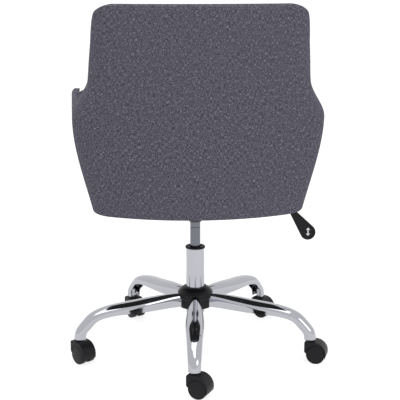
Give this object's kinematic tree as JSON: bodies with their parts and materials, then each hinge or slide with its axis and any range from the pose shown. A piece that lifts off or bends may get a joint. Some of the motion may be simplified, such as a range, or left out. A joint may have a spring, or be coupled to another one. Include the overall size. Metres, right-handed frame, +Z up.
{
  "type": "swivel office chair",
  "caption": "Swivel office chair: upholstered tub seat with low arms on a gas lift, five-leg chrome base with hooded twin-wheel casters and a height lever.",
  "frame": {"origin": "on the floor under the column's axis", "axes": "+Z up along the column, +Y towards the back of the seat, height lever on the -X side"},
  "size_m": [0.6904, 0.6986, 0.95],
  "materials": {
    "chrome": "polished",
    "steel": "zinc plated",
    "painted_steel": "black powder coat",
    "black_plastic": "fine texture",
    "wheel_nylon": "satin",
    "acetal": "satin",
    "rubber": "matte",
    "plywood": "raw",
    "frame_plastic": "moulded",
    "woven_fabric": "heathered tweed",
    "dust_cloth": "non-woven"
  },
  "bodies": {
    "base": {"leg_1": "chrome", "leg_2": "chrome", "leg_3": "chrome", "leg_4": "chrome", "leg_5": "chrome", "hub_tube": "steel", "hub_cover": "black_plastic", "caster_sockets": "chrome", "caster_stems": "steel", "outer_tube": "chrome", "tube_collar": "black_plastic", "guide_bush": "acetal", "rubber_bumper": "rubber", "thrust_bearing": "steel"},
    "piston": {"piston_rod": "steel", "rod_clip": "steel", "piston_head": "steel"},
    "lift": {"pressure_tube": "chrome", "rod_gland": "rubber", "valve_body": "acetal", "taper_socket": "painted_steel", "seat_plate": "painted_steel", "lever_bracket": "painted_steel", "lever_pin": "steel", "plate_bolts": "steel", "tee_nuts": "steel", "seat_board": "plywood", "shell_frame": "frame_plastic", "frame_screws": "steel", "outer_cover": "woven_fabric", "back_pad": "woven_fabric", "arm_pad_left": "woven_fabric", "arm_pad_right": "woven_fabric", "seat_cushion": "woven_fabric", "front_rail": "plywood", "dust_cover": "dust_cloth"},
    "valve": {"valve_pin": "acetal"},
    "lever": {"lever_rod": "steel", "lever_paddle": "black_plastic"},
    "caster_1": {"caster_1_hood": "black_plastic", "caster_1_axle": "steel"},
    "caster_1_left": {"caster_1_wheel_left": "wheel_nylon"},
    "caster_1_right": {"caster_1_wheel_right": "wheel_nylon"},
    "caster_2": {"caster_2_hood": "black_plastic", "caster_2_axle": "steel"},
    "caster_2_left": {"caster_2_wheel_left": "wheel_nylon"},
    "caster_2_right": {"caster_2_wheel_right": "wheel_nylon"},
    "caster_3": {"caster_3_hood": "black_plastic", "caster_3_axle": "steel"},
    "caster_3_left": {"caster_3_wheel_left": "wheel_nylon"},
    "caster_3_right": {"caster_3_wheel_right": "wheel_nylon"},
    "caster_4": {"caster_4_hood": "black_plastic", "caster_4_axle": "steel"},
    "caster_4_left": {"caster_4_wheel_left": "wheel_nylon"},
    "caster_4_right": {"caster_4_wheel_right": "wheel_nylon"},
    "caster_5": {"caster_5_hood": "black_plastic", "caster_5_axle": "steel"},
    "caster_5_left": {"caster_5_wheel_left": "wheel_nylon"},
    "caster_5_right": {"caster_5_wheel_right": "wheel_nylon"}
  },
  "joints": [
    {"name": "seat_swivel", "type": "hinge", "parent": "base", "child": "piston", "pos_m": [0, 0, 0.104], "axis": [0, 0, 1], "continuous": true},
    {"name": "seat_height", "type": "slide", "parent": "piston", "child": "lift", "axis": [0, 0, 1], "range_m": [-0.065, 0]},
    {"name": "lever_lift", "type": "hinge", "parent": "lift", "child": "lever", "pos_m": [-0.038, 0, 0.4125], "axis": [0, 1, 0], "range_deg": [0, 5], "stiffness_Nm_per_rad": 2, "springref_deg": -8.59},
    {"name": "valve_press", "type": "slide", "parent": "lift", "child": "valve", "axis": [0, 0, 1], "range_m": [-0.004, 0]},
    {"name": "caster_1_swivel", "type": "hinge", "parent": "base", "child": "caster_1", "pos_m": [0.02154, 0.32428, 0.06], "axis": [0, 0, 1], "continuous": true},
    {"name": "caster_1_left_roll", "type": "hinge", "parent": "caster_1", "child": "caster_1_left", "pos_m": [0.00768, 0.33228, 0.025], "axis": [-0.5, -0.866, 0], "continuous": true},
    {"name": "caster_1_right_roll", "type": "hinge", "parent": "caster_1", "child": "caster_1_right", "pos_m": [0.00768, 0.33228, 0.025], "axis": [-0.5, -0.866, 0], "continuous": true},
    {"name": "caster_2_swivel", "type": "hinge", "parent": "base", "child": "caster_2", "pos_m": [-0.30176, 0.12069, 0.06], "axis": [0, 0, 1], "continuous": true},
    {"name": "caster_2_left_roll", "type": "hinge", "parent": "caster_2", "child": "caster_2_left", "pos_m": [-0.31679, 0.12617, 0.025], "axis": [-0.342, -0.9397, 0], "continuous": true},
    {"name": "caster_2_right_roll", "type": "hinge", "parent": "caster_2", "child": "caster_2_right", "pos_m": [-0.31679, 0.12617, 0.025], "axis": [-0.342, -0.9397, 0], "continuous": true},
    {"name": "caster_3_swivel", "type": "hinge", "parent": "base", "child": "caster_3", "pos_m": [-0.20804, -0.24969, 0.06], "axis": [0, 0, 1], "continuous": true},
    {"name": "caster_3_left_roll", "type": "hinge", "parent": "caster_3", "child": "caster_3_left", "pos_m": [-0.22029, -0.23941, 0.025], "axis": [-0.6428, -0.766, 0], "continuous": true},
    {"name": "caster_3_right_roll", "type": "hinge", "parent": "caster_3", "child": "caster_3_right", "pos_m": [-0.22029, -0.23941, 0.025], "axis": [-0.6428, -0.766, 0], "continuous": true},
    {"name": "caster_4_swivel", "type": "hinge", "parent": "base", "child": "caster_4", "pos_m": [0.17319, -0.27501, 0.06], "axis": [0, 0, 1], "continuous": true},
    {"name": "caster_4_left_roll", "type": "hinge", "parent": "caster_4", "child": "caster_4_left", "pos_m": [0.16518, -0.26116, 0.025], "axis": [-0.866, -0.5, 0], "continuous": true},
    {"name": "caster_4_right_roll", "type": "hinge", "parent": "caster_4", "child": "caster_4_right", "pos_m": [0.16518, -0.26116, 0.025], "axis": [-0.866, -0.5, 0], "continuous": true},
    {"name": "caster_5_swivel", "type": "hinge", "parent": "base", "child": "caster_5", "pos_m": [0.31507, 0.07973, 0.06], "axis": [0, 0, 1], "continuous": true},
    {"name": "caster_5_left_roll", "type": "hinge", "parent": "caster_5", "child": "caster_5_left", "pos_m": [0.30478, 0.09198, 0.025], "axis": [-0.766, -0.6428, 0], "continuous": true},
    {"name": "caster_5_right_roll", "type": "hinge", "parent": "caster_5", "child": "caster_5_right", "pos_m": [0.30478, 0.09198, 0.025], "axis": [-0.766, -0.6428, 0], "continuous": true}
  ],
  "couplings": [
    {"joint": "valve_press", "follows": "lever_lift", "m_per_rad": -0.042}
  ]
}
